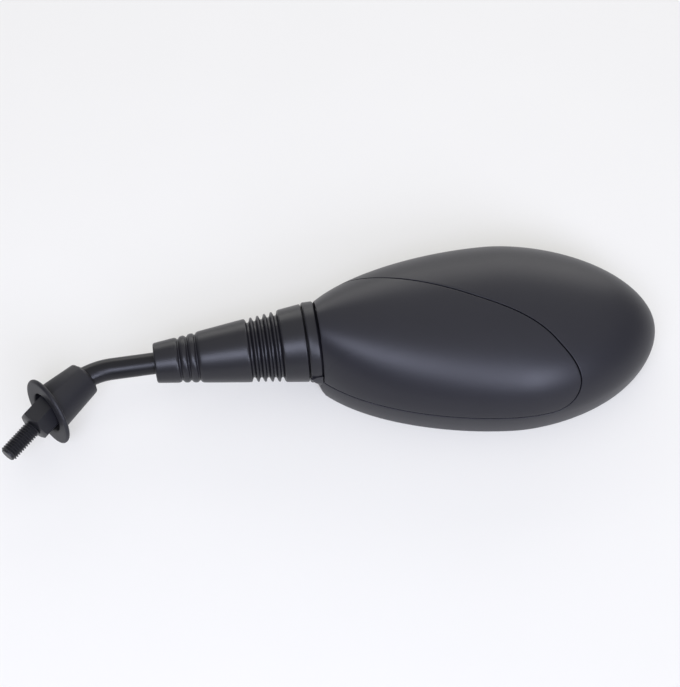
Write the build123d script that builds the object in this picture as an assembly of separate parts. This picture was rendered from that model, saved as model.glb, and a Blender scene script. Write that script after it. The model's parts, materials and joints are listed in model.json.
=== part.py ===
from build123d import *
import os
from math import cos, pi, radians, sin, sqrt, tan

# A motorcycle mirror that lies face down: an egg-shaped head with a cover panel in its back, a ball joint
# inside a ribbed boot, and a bent stem with a threaded stud. Millimetres.
# The pieces are drawn about the ball of the neck joint: +X from stem to head, +Z out of the head's back.
# They are written out about the stud's seat, the outer face of the hexagon.

# Stem
rod_d = 10.0
stem_reach = 82.7            # ball centre to the corner of the bend
bend_angle = 44.8
bend_radius = 31.0
seat_reach = 34.6            # corner of the bend to the stud's seat
thread_relief = 0.05         # rod's threaded end in the adapter, radial
thread_lead = 1.0            # plain rod between the bend and the thread
rod_engagement = 9.0         # length of the rod inside the adapter
neck_d = 7.6                 # waist of the rod behind the ball
neck_length = 5.0
spigot_d = 5.0               # rod's end in the ball
spigot_short = 0.5           # spigot's end inside the ball's surface

# Stud adapter and lock nut
stud_d = 8.0
stud_length = 17.0
stud_chamfer = 0.9
hex_af = 14.0
hex_length = 13.4
hex_chamfer = 0.7
hex_turn = 24.0              # a corner of the hexagon this far from the top
hole_spare = 1.0             # blind hole beyond the end of what goes in
nut_af = hex_af
nut_height = 5.0

# Rubber cap
cap_tilt = 4.8               # the cap follows the bend and stands askew to the stud
cap_length = 21.0
cap_set_back = 10.2          # flange behind the stud's seat
cap_narrow_d = 16.8
cap_wide_d = 21.8
cap_wall = 1.5
cap_end_wall = 2.4
cap_end_edge = 1.0
cap_flange_d = 32.0
cap_flange_t = 1.3
cap_flange_edge = 0.3
flange_turn = 8.2            # the soft flange is pushed further round than the cone
flange_rise = 10.0           # and leans back
cap_grip = 0.9               # rod in the cap's narrow end, radial

# Boot
boot_start = -50.5
boot_end = 18.4
boot_narrow_d = 18.3
boot_wide_d = 36.2
boot_wall = 2.3
boot_grip_length = 11.0
boot_fit = 0.05              # boot on the rod, radial
boot_room = 0.3              # boot's mouth round the collar's spigot
rib_groove_x = -39.0         # first of the soft grooves
rib_groove_pitch = 3.95
rib_groove_count = 3
rib_groove_w = 2.2
rib_groove_depth = 0.9
fold_count = 5               # sharp grooves of the bellows
fold_pitch = 3.2
fold_w = 2.5
fold_depth = 2.2
fold_wall = 1.3

# Ball joint
ball_d = 15.0
ball_fit = 0.05
ball_flat_x = -6.0
socket_front = -6.5
socket_chamfer = 1.5
bore_over = 0.5              # socket's bore outside the ball, radial
socket_wall = 2.4
flange_w = 4.5
socket_flange_t = 3.0
socket_room = 0.2            # socket in the housing, radial
cone_angle = 44.0            # mouth of the socket, half angle
cup_front = 2.0
cup_length = 7.0
cup_fit = 0.08
cup_boss_length = 2.0
spring_length = 15.0
spring_wire = 1.6
spring_room = 1.4            # coil in the bore, radial
spring_play = 0.5            # cup's boss in the coil, radial
spring_turns = 5.5
plug_length = 6.5
plug_fit = 0.05
plug_slot_w = 1.8
plug_slot_depth = 2.0
socket_screw_d = 3.0
socket_screw_head_d = 4.2
socket_screw_head_h = 1.8
socket_screw_count = 3
screw_fit = 0.02             # screw in its own thread, radial
screw_hole_room = 0.15       # screw in a through hole, radial
screw_short = 0.5            # screw's end inside the bulkhead's front

# Collar between boot and head
collar_over = 0.2            # ring proud of the boot's mouth
boot_gap = 0.8               # groove between boot and ring
collar_length = 4.9
spigot_length = 7.4          # collar's spigot in the boot
spigot_wall = 4.3
hub_wall = 3.0
hub_step = 1.5               # hub behind the ring
hub_room = 0.3               # hub in front of the bulkhead
collar_fit = 0.06            # collar on the socket, radial
collar_recess_w = 2.4
collar_recess_depth = 3.0
collar_edge = 0.6
washer_t = 0.5
washer_lip = 2.3
clip_t = 1.0
clip_lip = 2.1
clip_groove_depth = 0.8
clip_gap = 5.0
clip_fit = 0.05

# Head: egg outline in plan, oval sections
nose_overhang = 9.8          # nose of the outline in front of the mouth
nose_length = 95.4           # nose to the widest place
tip_length = 71.7            # widest place to the tip
head_half_w = 45.3
head_crown = 33.0            # crown above the widest level
head_keel = 50.0             # depth of the oval that the rim is cut from
neck_height = 21.0           # neck's axis above the rim
wide_height = 13.0           # widest level above the rim
head_lean = 10.4             # the tip stands off the neck's axis
lean_offset = 8.1            # lean starts behind the nose
egg_power = 1.8
nose_fullness = 0.49
tip_fullness = 0.52
crown_nose_fullness = 0.07
crown_tip_fullness = 0.47
keel_fullness = 0.8
oval_points = 16
nose_stations = (0.99, 0.96, 0.9, 0.8, 0.65, 0.45, 0.2)
tip_stations = (0.05, 0.25, 0.45, 0.62, 0.77, 0.88, 0.95, 0.985)
wall = 2.4
mouth_gap = 0.6              # ring to the panel's mouth
bulkhead_t = 3.0
cradle_room = 0.4            # collar in the housing's cradle, radial
saddle_wall = 1.4            # cradle's wall beside the ring
chin_slant = 17.0            # front of the cradle, off upright
hub_clear = 0.4              # panel's mouth round the collar's hub

# Cover panel: its curve and tongues in plan, from the nose
panel_t = 2.0
panel_seat = 0.35            # panel above the floor it lies on
panel_gap = 0.45             # visible joint round the panel
panel_edge_rise = 3.0        # lower edge above the widest level
panel_corner_r = 13.0
leaf_curve = [(3.0, 27.0), (30.8, 21.3), (78.4, -0.2), (113.7, -27.4), (122.9, -44.0)]
leaf_slope = 0.15
leaf_steps = 6
tongue_l = 8.0
tongue_t = 1.6
tongue_reach = 6.0
tongue_room = 0.3
tongue_plan = [(27.0, -8.0), (55.0, -34.0), (103.0, -36.0)]

# Mirror glass and its carrier
glass_radius = 1400.0
glass_t = 2.2
glass_recess = 0.8           # middle of the glass behind the rim
glass_inset = 4.2            # edge of the glass inside the head's widest outline
glass_room = 0.4
glass_offset = 4.5           # end of the glass behind the bulkhead
glass_bow = 1.5
plan_stations = (0.0, 0.1, 0.25, 0.45, 0.65, 0.82, 0.93, 0.985)
glass_corner_r = 9.0
foam_t = 1.0
foam_inset = 3.0
carrier_t = 1.8
carrier_rim_w = 2.0
ledge_height = 7.8           # ledge above the rim
ledge_w = 1.8
ledge_t = 2.6
post_d = 7.0
post_plan = [(37.0, 4.0), (73.0, -26.0), (99.0, -22.0)]
post_screw_d = 3.5
post_screw_head_d = 6.2
post_screw_head_h = 2.0
post_screw_length = 12.0
boss_d = 10.0
boss_web = 2.4
boss_drop = 3.4              # screw's seat below the floor's surface
head_room = 0.3

LARGE = 400.0                # reach of a cut that passes right through

# What follows from them
rod_r = rod_d / 2
hex_far = seat_reach - hex_length
stud_way = Vector(-cos(radians(bend_angle)), -sin(radians(bend_angle)), 0)
bend_corner = Vector(-stem_reach, 0, 0)
stud_seat = bend_corner + stud_way * seat_reach
ball_r = ball_d / 2
socket_bore_d = ball_d + 2 * bore_over
socket_d = socket_bore_d + 2 * socket_wall
socket_flange_d = socket_d + 2 * flange_w
socket_screw_pcd = (socket_d + socket_flange_d) / 2
spring_mean_d = socket_bore_d - spring_wire - 2 * spring_room
cup_boss_d = spring_mean_d - spring_wire - 2 * spring_play
cup_back = cup_front + cup_length
spring_back = cup_back + spring_length
collar_d = boot_wide_d + 2 * collar_over
collar_front = boot_end + boot_gap
collar_back = collar_front + collar_length
collar_hub_back = collar_back + hub_step
collar_spigot_d = socket_d + 2 * (collar_fit + spigot_wall)
collar_spigot_front = collar_front - spigot_length
hub_r = socket_d / 2 + collar_fit + hub_wall
cradle_r = collar_d / 2 + cradle_room
washer_d = socket_d + 2 * washer_lip
clip_d = socket_d + 2 * clip_lip
clip_start = collar_spigot_front - washer_t - clip_t - clip_fit
mouth_x = collar_back + mouth_gap
bulkhead_x = collar_hub_back + hub_room
bulkhead_back = bulkhead_x + bulkhead_t
socket_back = bulkhead_back + socket_flange_t
head_nose_x = mouth_x - nose_overhang
head_wide_x = head_nose_x + nose_length
head_tip_x = head_wide_x + tip_length
lean_start_x = head_nose_x + lean_offset
rim_z = -neck_height
head_wide_z = rim_z + wide_height
panel_edge_z = head_wide_z + panel_edge_rise
ledge_z = rim_z + ledge_height
floor_inset = panel_t + panel_seat
glass_nose_x = bulkhead_back + glass_offset
leaf_points = [(head_nose_x + x, y) for x, y in leaf_curve]
tongue_spots = [(head_nose_x + x, y) for x, y in tongue_plan]
post_spots = [(head_nose_x + x, y) for x, y in post_plan]


def turned(points):
    """A solid turned about X from (x, radius) points."""
    return revolve(Plane.XZ * make_face(Polyline(*points, close=True)), Axis.X)


def rod_x(radius, start, end):
    """A cylinder along X."""
    return Plane(origin=(start, 0, 0), z_dir=(1, 0, 0)) * extrude(Circle(radius), end - start)


def rod_z(radius, place, bottom, top):
    """An upright cylinder."""
    return Pos(place[0], place[1], bottom) * extrude(Circle(radius), top - bottom)


def stud_plane(distance):
    """Plane across the stud's axis, its normal towards the tip."""
    return Plane(origin=bend_corner + stud_way * distance, x_dir=(0, 0, 1), z_dir=stud_way)


def stud_frame(distance):
    """Frame on the stud's axis, its X towards the tip."""
    return Plane(origin=bend_corner + stud_way * distance, x_dir=stud_way, z_dir=(0, 0, 1))


def hexagon(across_flats):
    """Hexagon in a plane across the stud."""
    return RegularPolygon(across_flats / 2, 6, major_radius=False, rotation=-hex_turn)


def hex_blank(across_flats, length):
    """Turned blank that takes the corners off both ends of a hexagon."""
    flat_r, corner_r = across_flats / 2 - hex_chamfer, across_flats / sqrt(3)
    ease = (corner_r - flat_r) * tan(radians(30))
    ends = [(ease, corner_r), (length - ease, corner_r)]
    return turned([(0, 0), (0, flat_r)] + ends + [(length, flat_r), (length, 0)])


def grouped(shapes):
    """Like solids in one piece of the list."""
    return Compound([solid for shape in shapes for solid in shape.solids()])


# Stem, adapter and nut

def make_stem_rod():
    """Bent rod with a threaded end, a waist behind the ball and a spigot in it."""
    end = hex_far + rod_engagement
    shoulder = ball_flat_x - neck_length
    path = FilletPolyline((shoulder, 0, 0), bend_corner, bend_corner + stud_way * end, radius=bend_radius)
    rod = sweep(Plane(origin=(shoulder, 0, 0), z_dir=(-1, 0, 0)) * Circle(rod_r), path)
    thread_start = bend_radius * tan(radians(bend_angle / 2)) + thread_lead
    ring = Circle(rod_d) - Circle(rod_r - thread_relief)
    rod -= stud_plane(thread_start) * extrude(ring, LARGE)
    rod += rod_x(neck_d / 2, shoulder, ball_flat_x)
    return rod + rod_x(spigot_d / 2, ball_flat_x, ball_r - spigot_short)


def make_stud_adapter():
    """Hexagon with the stud on one end and the rod's threaded hole in the other."""
    body = stud_plane(hex_far) * extrude(hexagon(hex_af), hex_length)
    body &= stud_frame(hex_far) * hex_blank(hex_af, hex_length)
    stud_r = stud_d / 2
    stud = turned([
        (0, 0),
        (0, stud_r),
        (stud_length - stud_chamfer, stud_r),
        (stud_length, stud_r - stud_chamfer),
        (stud_length, 0),
    ])
    body += stud_frame(seat_reach) * stud
    return body - stud_plane(hex_far) * extrude(Circle(rod_r), rod_engagement + hole_spare)


def make_lock_nut():
    """Thin nut on the rod, against the adapter."""
    start = hex_far - nut_height
    nut = stud_plane(start) * extrude(hexagon(nut_af) - Circle(rod_r), nut_height)
    return nut & stud_frame(start) * hex_blank(nut_af, nut_height)


def cap_frame(turn, rise):
    """Frame at the cap's mouth, its X out of the mouth."""
    turn, rise = radians(bend_angle - turn), radians(rise)
    out = (-cos(turn) * cos(rise), -sin(turn) * cos(rise), sin(rise))
    up = (cos(turn) * sin(rise), sin(turn) * sin(rise), cos(rise))
    return Plane(origin=bend_corner + stud_way * (seat_reach - cap_set_back), x_dir=out, z_dir=up)


def make_base_cap():
    """Rubber bell: a cone round the bend's end, with a thin flange that stands askew at its open end."""
    narrow, wide, flange = cap_narrow_d / 2, cap_wide_d / 2, cap_flange_d / 2
    cone, skewed = cap_frame(cap_tilt, 0), cap_frame(cap_tilt + flange_turn, flange_rise)
    outside = turned([
        (-cap_length, 0),
        (-cap_length, narrow - cap_end_edge),
        (-cap_length + cap_end_edge, narrow),
        (0, wide),
        (cap_length, wide),
        (cap_length, 0),
    ])
    inside = turned([
        (-cap_length + cap_end_wall, 0),
        (-cap_length + cap_end_wall, narrow - cap_wall),
        (0, wide - cap_wall),
        (cap_length, wide - cap_wall),
        (cap_length, 0),
    ])
    disc = turned([
        (-cap_flange_t, 0),
        (-cap_flange_t, flange - cap_flange_edge),
        (-cap_flange_t + cap_flange_edge, flange),
        (-cap_flange_edge, flange),
        (0, flange - cap_flange_edge),
        (0, 0),
    ])
    bell = (cone * outside & skewed * slab(high_x=0)) + skewed * disc
    return bell - cone * inside - cone * rod_x(rod_r + cap_grip, -LARGE, 0)


# Boot

def boot_radius(x):
    """The boot's plain cone."""
    share = (x - boot_start) / (boot_end - boot_start)
    return (boot_narrow_d + share * (boot_wide_d - boot_narrow_d)) / 2


def make_boot():
    """Rubber sleeve: soft grooves near its thin end, a bellows round the ball, a plain mouth."""
    outer = [(boot_start, boot_radius(boot_start))]
    for index in range(rib_groove_count):
        x = rib_groove_x + index * rib_groove_pitch
        for step in (-0.5, -0.25, 0.25, 0.5):
            depth = rib_groove_depth if abs(step) < 0.5 else 0
            outer.append((x + step * rib_groove_w, boot_radius(x + step * rib_groove_w) - depth))
    first_fold = -fold_pitch * (fold_count - 1) / 2
    inner = []
    for index in range(fold_count):
        x = first_fold + index * fold_pitch
        outer.append((x - fold_w / 2, boot_radius(x - fold_w / 2)))
        outer.append((x, boot_radius(x) - fold_depth))
        outer.append((x + fold_w / 2, boot_radius(x + fold_w / 2)))
        inner.append((x, boot_radius(x) - fold_depth - fold_wall))
        if index < fold_count - 1:
            ridge = x + fold_pitch / 2
            inner.append((ridge, boot_radius(ridge) - fold_wall - fold_depth / 2))
    outer.append((boot_end, boot_radius(boot_end)))
    spigot_r = collar_spigot_d / 2 + boot_room
    spigot_x = collar_spigot_front - boot_room
    grip_x = boot_start + boot_grip_length
    grip_r = rod_r + boot_fit
    bore = [(boot_start, grip_r), (grip_x, grip_r), (grip_x, boot_radius(grip_x) - boot_wall)]
    bore += inner + [(spigot_x, inner[-1][1]), (spigot_x, spigot_r), (boot_end, spigot_r)]
    return turned(outer + bore[::-1])


# Ball joint

def ball_space():
    """The ball with its running clearance."""
    return Rot(0, 90, 0) * Sphere(ball_r + ball_fit)


def make_pivot_ball():
    """Ball with a flat towards the rod and a hole for the rod's spigot."""
    ball = Sphere(ball_r)
    ball -= rod_x(ball_r, ball_flat_x - ball_r, ball_flat_x)
    return ball - rod_x(spigot_d / 2 + screw_fit, -ball_r, ball_r)


def screw_angles():
    """Places of the flange's screws, the first at the top."""
    return [90 + index * 360 / socket_screw_count for index in range(socket_screw_count)]


def around_socket(shape):
    """Copies of a shape at the flange's screws."""
    spots = []
    for angle in screw_angles():
        turn = radians(angle)
        reach = socket_screw_pcd / 2
        spots.append(Pos(0, reach * cos(turn), reach * sin(turn)) * shape)
    return spots


def make_joint_socket():
    """Tube with the ball's seat in its front lip and a flange at its back."""
    socket = rod_x(socket_d / 2, socket_front, socket_back)
    socket = chamfer(socket.edges().sort_by(Axis.X)[0], socket_chamfer)
    socket += rod_x(socket_flange_d / 2, bulkhead_back, socket_back)
    socket -= ball_space()
    socket -= rod_x(socket_bore_d / 2, 0, socket_back)
    reach = -2 * socket_front
    socket -= turned([(0, 0), (-reach, 0), (-reach, reach * tan(radians(cone_angle)))])
    groove_r = socket_d / 2 - clip_groove_depth
    groove = rod_x(socket_d, clip_start - clip_fit, clip_start + clip_t + clip_fit)
    socket -= groove - rod_x(groove_r, -LARGE, LARGE)
    hole = rod_x(socket_screw_d / 2 + screw_hole_room, bulkhead_back, socket_back)
    return socket - around_socket(hole)


def make_pressure_cup():
    """Cup that presses on the ball, with a boss in the spring."""
    cup = rod_x(socket_bore_d / 2 - cup_fit, cup_front, cup_back)
    cup += rod_x(cup_boss_d / 2, cup_back, cup_back + cup_boss_length)
    return cup - ball_space()


def make_joint_spring():
    """Coil with ground ends between the cup and the plug."""
    radius = spring_mean_d / 2
    coil = Helix(pitch=spring_length / spring_turns, height=spring_length, radius=radius)
    start = Plane(origin=coil @ 0, z_dir=coil % 0)
    wire = sweep(start * Circle(spring_wire / 2), coil, is_frenet=True)
    wire &= extrude(Circle(socket_bore_d), spring_length)
    return Plane(origin=(cup_back, 0, 0), z_dir=(1, 0, 0)) * wire


def make_spring_plug():
    """Threaded plug with a driver slot."""
    plug = rod_x(socket_bore_d / 2 - plug_fit, spring_back, spring_back + plug_length)
    slot = Pos(spring_back + plug_length, 0, 0) * Box(2 * plug_slot_depth, plug_slot_w, socket_bore_d)
    return plug - slot


def make_socket_screws():
    """Screws through the flange into the bulkhead."""
    shank = rod_x(socket_screw_d / 2, bulkhead_x + screw_short, socket_back)
    head = rod_x(socket_screw_head_d / 2, socket_back, socket_back + socket_screw_head_h)
    head = fillet(head.edges().sort_by(Axis.X)[-1], socket_screw_head_h / 3)
    return grouped(around_socket(shank + head))


# Collar

def make_neck_collar():
    """Ring between boot and head, turning on the socket."""
    bore, spigot, ring = socket_d / 2 + collar_fit, collar_spigot_d / 2, collar_d / 2
    outline = [
        (collar_spigot_front, bore),
        (collar_spigot_front, spigot),
        (collar_front, spigot),
        (collar_front, ring - collar_edge),
        (collar_front + collar_edge, ring),
        (collar_back - collar_edge, ring),
        (collar_back, ring - collar_edge),
        (collar_back, spigot + collar_recess_w),
        (collar_back - collar_recess_depth, spigot + collar_recess_w),
        (collar_back - collar_recess_depth, hub_r),
        (collar_hub_back, hub_r),
        (collar_hub_back, bore),
    ]
    return turned(outline)


def make_collar_washer():
    """Slip washer between the clip and the collar."""
    ring = Circle(washer_d / 2) - Circle(socket_d / 2 + collar_fit)
    return Plane(origin=(collar_spigot_front - washer_t, 0, 0), z_dir=(1, 0, 0)) * extrude(ring, washer_t)


def make_collar_clip():
    """Open ring in the socket's groove."""
    ring = Circle(clip_d / 2) - Circle(socket_d / 2 - clip_groove_depth + clip_fit)
    ring -= Pos(0, -clip_d / 2) * Rectangle(clip_gap, clip_d)
    return Plane(origin=(clip_start, 0, 0), z_dir=(1, 0, 0)) * extrude(ring, clip_t)


# Head

def egg(x, nose_power, tip_power, inset=0.0):
    """Share of the full width at x, from the blunt nose to the round tip."""
    if x < head_wide_x:
        share = (head_wide_x - x) / (head_wide_x - head_nose_x - inset)
        return max(0.0, 1 - share ** egg_power) ** nose_power
    share = (x - head_wide_x) / (head_tip_x - inset - head_wide_x)
    return max(0.0, 1 - share ** egg_power) ** tip_power


def half_width(x, inset=0.0):
    """Half of the head's width at its widest level."""
    return (head_half_w - inset) * egg(x, nose_fullness, tip_fullness, inset)


def crown(x, inset=0.0):
    """Height of the head's back above its widest level."""
    return (head_crown - inset) * egg(x, crown_nose_fullness, crown_tip_fullness, inset)


def keel(x, inset=0.0):
    """Depth of the oval that the rim is cut from, below the widest level."""
    return (head_keel - inset) * egg(x, nose_fullness, tip_fullness, inset) ** keel_fullness


def lean(x):
    """Middle of the head's outline, off the neck's axis."""
    share = max(0.0, x - lean_start_x) / (head_tip_x - lean_start_x)
    return -head_lean * share


def back_z(x, y, inset=0.0):
    """Height of the head's back at a place in plan."""
    share = (y - lean(x)) / half_width(x, inset)
    return head_wide_z + crown(x, inset) * sqrt(1 - share ** 2)


def head_oval(x, inset):
    """The head's section at x: one closed curve, flatter above the widest level than below it."""
    points = []
    for index in range(oval_points):
        turn = 2 * pi * index / oval_points - pi / 2
        height = crown(x, inset) if sin(turn) > 0 else keel(x, inset)
        points.append((half_width(x, inset) * cos(turn), height * sin(turn)))
    plane = Plane(origin=(x, lean(x), head_wide_z), x_dir=(0, 1, 0), z_dir=(1, 0, 0))
    return plane * make_face(Spline(*points, periodic=True))


def head_form(inset=0.0):
    """The head as a solid, or a layer inside it: ovals lofted from nose to tip and cut off at the rim."""
    nose = head_wide_x - head_nose_x - inset
    tip = head_tip_x - inset
    places = [head_wide_x - share * nose for share in nose_stations]
    places += [head_wide_x + share * (tip - head_wide_x) for share in tip_stations]
    egg_body = loft([head_oval(x, inset) for x in places] + [Vertex(tip, lean(tip), head_wide_z)])
    return split(egg_body, Plane.XY.offset(rim_z), keep=Keep.TOP)


def leaf(grow=0.0):
    """Space that the cover panel takes: above its lower edge and in front of a curve across the back."""
    ends = [(1, -leaf_slope), (0, -1)]
    curve = Spline(*leaf_points, tangents=ends)
    moved = []
    for index in range(leaf_steps + 1):
        place, way = curve @ (index / leaf_steps), curve % (index / leaf_steps)
        moved.append((place.X - way.Y * grow, place.Y + way.X * grow))
    edge = Spline(*moved, tangents=ends)
    start, end = moved[0], moved[-1]
    sides = Polyline(end, (end[0], -LARGE), (start[0], -LARGE), start)
    space = Pos(0, 0, panel_edge_z - grow) * extrude(make_face(edge + sides), LARGE)
    low = space.edges().group_by(Axis.Z)[0]
    rounded = [line for line in low if start[0] < line.center().X and line.center().Y > -LARGE]
    return fillet(rounded, panel_corner_r + grow)


def slab(low_x=-LARGE, low_z=-LARGE, high_x=LARGE, high_z=LARGE):
    """Space between limits in X and Z."""
    box = Box(high_x - low_x, 2 * LARGE, high_z - low_z)
    return Pos((low_x + high_x) / 2, 0, (low_z + high_z) / 2) * box


def glass_plan(grow=0.0):
    """Outline of the mirror glass in plan: the head's outline further in, with a bowed end at the neck."""
    inset = glass_inset - grow
    nose = glass_nose_x - grow
    tip = head_tip_x - inset
    places = [nose + (tip - nose) * share for share in plan_stations]
    far = [(x, lean(x) + half_width(x, inset)) for x in places]
    near = [(x, lean(x) - half_width(x, inset)) for x in places]
    side = Spline(*far, (tip, lean(tip)), *near[::-1])
    bow = ThreePointArc(near[0], (nose - glass_bow, lean(nose)), far[0])
    face = make_face(side + bow)
    return fillet(face.vertices(), glass_corner_r)


def upright(plan, low, high):
    """A plan drawn up into a solid between two levels."""
    return Pos(0, 0, low) * extrude(plan, high - low)


def bowl(depth):
    """Ball whose underside is the glass's front, or a layer so much further in."""
    middle = (glass_nose_x + head_tip_x) / 2
    place = Pos(middle, lean(middle), rim_z + glass_recess + glass_radius)
    return place * Rot(90, 0, 0) * Sphere(glass_radius - depth)


def screw_seat(spot):
    """Level of a carrier screw's seat in the floor."""
    return back_z(*spot, floor_inset) - boss_drop


def tongue_space(spot, room):
    """Block at one of the panel's tongues."""
    top = back_z(*spot, panel_t)
    block = Box(tongue_l + 2 * room, tongue_t + 2 * room, 2 * (tongue_reach + room))
    return Pos(*spot, top) * block


def make_housing(skin, floor):
    """Shell with the rim, the bulkhead for the socket, the collar's cradle and the floor under the panel."""
    body = skin - (leaf(panel_gap) - floor)
    body -= slab(high_x=bulkhead_x, low_z=panel_edge_z - panel_gap)
    body += rod_x(cradle_r + saddle_wall, collar_front, mouth_x - panel_gap) & slab(high_z=0)
    body -= Pos(collar_front, 0, 0) * Rot(0, -chin_slant, 0) * slab(high_x=0)
    for spot in post_spots:
        low = screw_seat(spot) - boss_web
        body += rod_z(boss_d / 2, spot, low, low + boss_drop + boss_web) & floor
    hollow = head_form(wall) - (leaf(wall) - head_form(floor_inset + wall))
    hollow &= slab(low_x=bulkhead_back, low_z=ledge_z + ledge_t)
    for spot in post_spots:
        low = screw_seat(spot) - boss_web
        hollow -= rod_z(boss_d / 2, spot, low, low + LARGE)
    body -= hollow
    body -= upright(glass_plan(glass_room), 2 * rim_z, ledge_z)
    body -= upright(glass_plan(-ledge_w), ledge_z, ledge_z + ledge_t)
    body -= rod_x(cradle_r, -LARGE, bulkhead_x)
    body -= rod_x(socket_d / 2 + socket_room, bulkhead_x, bulkhead_back)
    body -= rod_x(socket_flange_d / 2 + socket_room, bulkhead_back, glass_nose_x + ledge_w + socket_flange_t)
    body -= around_socket(rod_x(socket_screw_d / 2 + screw_fit, bulkhead_x, bulkhead_back))
    for spot in post_spots:
        seat = screw_seat(spot)
        body -= rod_z(post_screw_head_d / 2 + head_room, spot, seat, seat + 2 * boss_drop)
        body -= rod_z(post_screw_d / 2 + screw_hole_room, spot, seat - boss_web, seat)
    for spot in tongue_spots:
        body -= tongue_space(spot, tongue_room)
    return body


def make_back_panel(skin):
    """Leaf-shaped cover with tongues that locate it in the floor."""
    under = head_form(panel_t)
    panel = (skin - under) & leaf() & slab(low_x=mouth_x)
    panel -= rod_x(hub_r + hub_clear, -LARGE, bulkhead_x)
    for spot in tongue_spots:
        panel += tongue_space(spot, 0) & head_form(panel_t / 2)
    return panel


def make_mirror_glass():
    """Slightly convex glass."""
    return upright(glass_plan(), rim_z, ledge_z) & (bowl(0) - bowl(glass_t))


def make_foam_pad():
    """Sticky foam between the glass and its carrier."""
    return upright(glass_plan(-foam_inset), rim_z, ledge_z) & (bowl(glass_t) - bowl(glass_t + foam_t))


def make_glass_carrier():
    """Plate behind the foam, with a rim on the housing's ledge and posts for its screws."""
    back = glass_t + foam_t
    plate = upright(glass_plan(), rim_z, ledge_z) & (bowl(back) - bowl(back + carrier_t))
    plate += upright(glass_plan() - glass_plan(-carrier_rim_w), rim_z, ledge_z) & bowl(back)
    for spot in post_spots:
        top = screw_seat(spot) - boss_web
        plate += rod_z(post_d / 2, spot, rim_z, top) & bowl(back)
        reach = post_screw_length - boss_web + hole_spare
        plate -= rod_z(post_screw_d / 2 + screw_fit, spot, top - reach, top)
    return plate


def make_carrier_screws():
    """Screws through the floor into the carrier's posts."""
    screws = []
    for spot in post_spots:
        seat = screw_seat(spot)
        head = rod_z(post_screw_head_d / 2, spot, seat, seat + post_screw_head_h)
        head = fillet(head.edges().sort_by(Axis.Z)[-1], post_screw_head_h / 3)
        screws.append(head + rod_z(post_screw_d / 2, spot, seat - post_screw_length, seat))
    return grouped(screws)


def make_parts():
    """Every piece by name."""
    skin, floor = head_form(), head_form(floor_inset)
    return {
        "stud_adapter": make_stud_adapter(),
        "lock_nut": make_lock_nut(),
        "stem_rod": make_stem_rod(),
        "base_cap": make_base_cap(),
        "boot": make_boot(),
        "pivot_ball": make_pivot_ball(),
        "joint_socket": make_joint_socket(),
        "pressure_cup": make_pressure_cup(),
        "joint_spring": make_joint_spring(),
        "spring_plug": make_spring_plug(),
        "socket_screws": make_socket_screws(),
        "neck_collar": make_neck_collar(),
        "collar_washer": make_collar_washer(),
        "collar_clip": make_collar_clip(),
        "housing": make_housing(skin, floor),
        "back_panel": make_back_panel(skin),
        "mirror_glass": make_mirror_glass(),
        "foam_pad": make_foam_pad(),
        "glass_carrier": make_glass_carrier(),
        "carrier_screws": make_carrier_screws(),
    }


os.makedirs("parts", exist_ok=True)
for name, shape in make_parts().items():
    export_step(Pos(*-stud_seat) * shape, f"parts/{name}.step")
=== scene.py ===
import json
from bisect import bisect_left
from math import acos, cos, hypot, pi, radians, sin, sqrt, tan

import bpy
from mathutils import Matrix, Vector


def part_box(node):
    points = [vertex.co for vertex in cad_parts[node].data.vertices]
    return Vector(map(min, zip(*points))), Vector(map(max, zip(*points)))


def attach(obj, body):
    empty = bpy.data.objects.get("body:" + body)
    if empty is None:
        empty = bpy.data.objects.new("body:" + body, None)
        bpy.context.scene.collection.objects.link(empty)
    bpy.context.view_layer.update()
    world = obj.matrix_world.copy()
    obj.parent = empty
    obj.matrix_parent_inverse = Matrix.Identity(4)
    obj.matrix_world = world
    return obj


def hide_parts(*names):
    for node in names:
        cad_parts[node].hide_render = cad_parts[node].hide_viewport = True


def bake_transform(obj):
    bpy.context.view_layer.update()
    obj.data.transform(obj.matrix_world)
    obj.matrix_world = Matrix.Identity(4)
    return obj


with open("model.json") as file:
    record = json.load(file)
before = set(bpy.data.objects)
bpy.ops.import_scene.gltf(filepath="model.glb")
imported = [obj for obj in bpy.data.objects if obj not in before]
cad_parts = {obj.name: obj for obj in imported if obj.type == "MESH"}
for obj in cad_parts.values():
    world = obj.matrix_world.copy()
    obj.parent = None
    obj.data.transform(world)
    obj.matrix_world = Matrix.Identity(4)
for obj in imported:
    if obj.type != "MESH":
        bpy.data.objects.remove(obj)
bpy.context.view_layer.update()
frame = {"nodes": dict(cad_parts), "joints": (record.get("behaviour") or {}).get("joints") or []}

# Sizes are in millimetres about the ball of the neck joint: +X from stem to head, +Z out of the head's back.
MM = 0.001
neck = Vector(next(j for j in frame["joints"] if j["name"] == "head_pan")["pos_m"])
stud_way = Vector(next(j for j in frame["joints"] if j["name"] == "stem_swivel")["axis"]).normalized()
seat = -neck / MM


def node_box(node):
    """Lowest and highest corner of a CAD node, in millimetres about the neck's ball."""
    low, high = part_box(node)
    return (low - neck) / MM, (high - neck) / MM


housing_low, housing_high = node_box("housing")
boot_low, boot_high = node_box("boot")
collar_low, collar_high = node_box("neck_collar")

# Head: egg outline in plan, oval sections
head_nose_x = 14.9
head_wide_x = 110.3
head_tip_x = housing_high.x
head_half_w = 45.3
head_crown = 33.0
head_keel = 50.0
head_lean = 10.4
lean_start_x = 23.0
egg_power = 1.8
nose_fullness = 0.49
tip_fullness = 0.52
crown_nose_fullness = 0.07
crown_tip_fullness = 0.47
keel_fullness = 0.8
rim_z = housing_low.z
wide_height = 13.0
head_wide_z = rim_z + wide_height
wall = 2.4
dome_reach = 0.9

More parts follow.
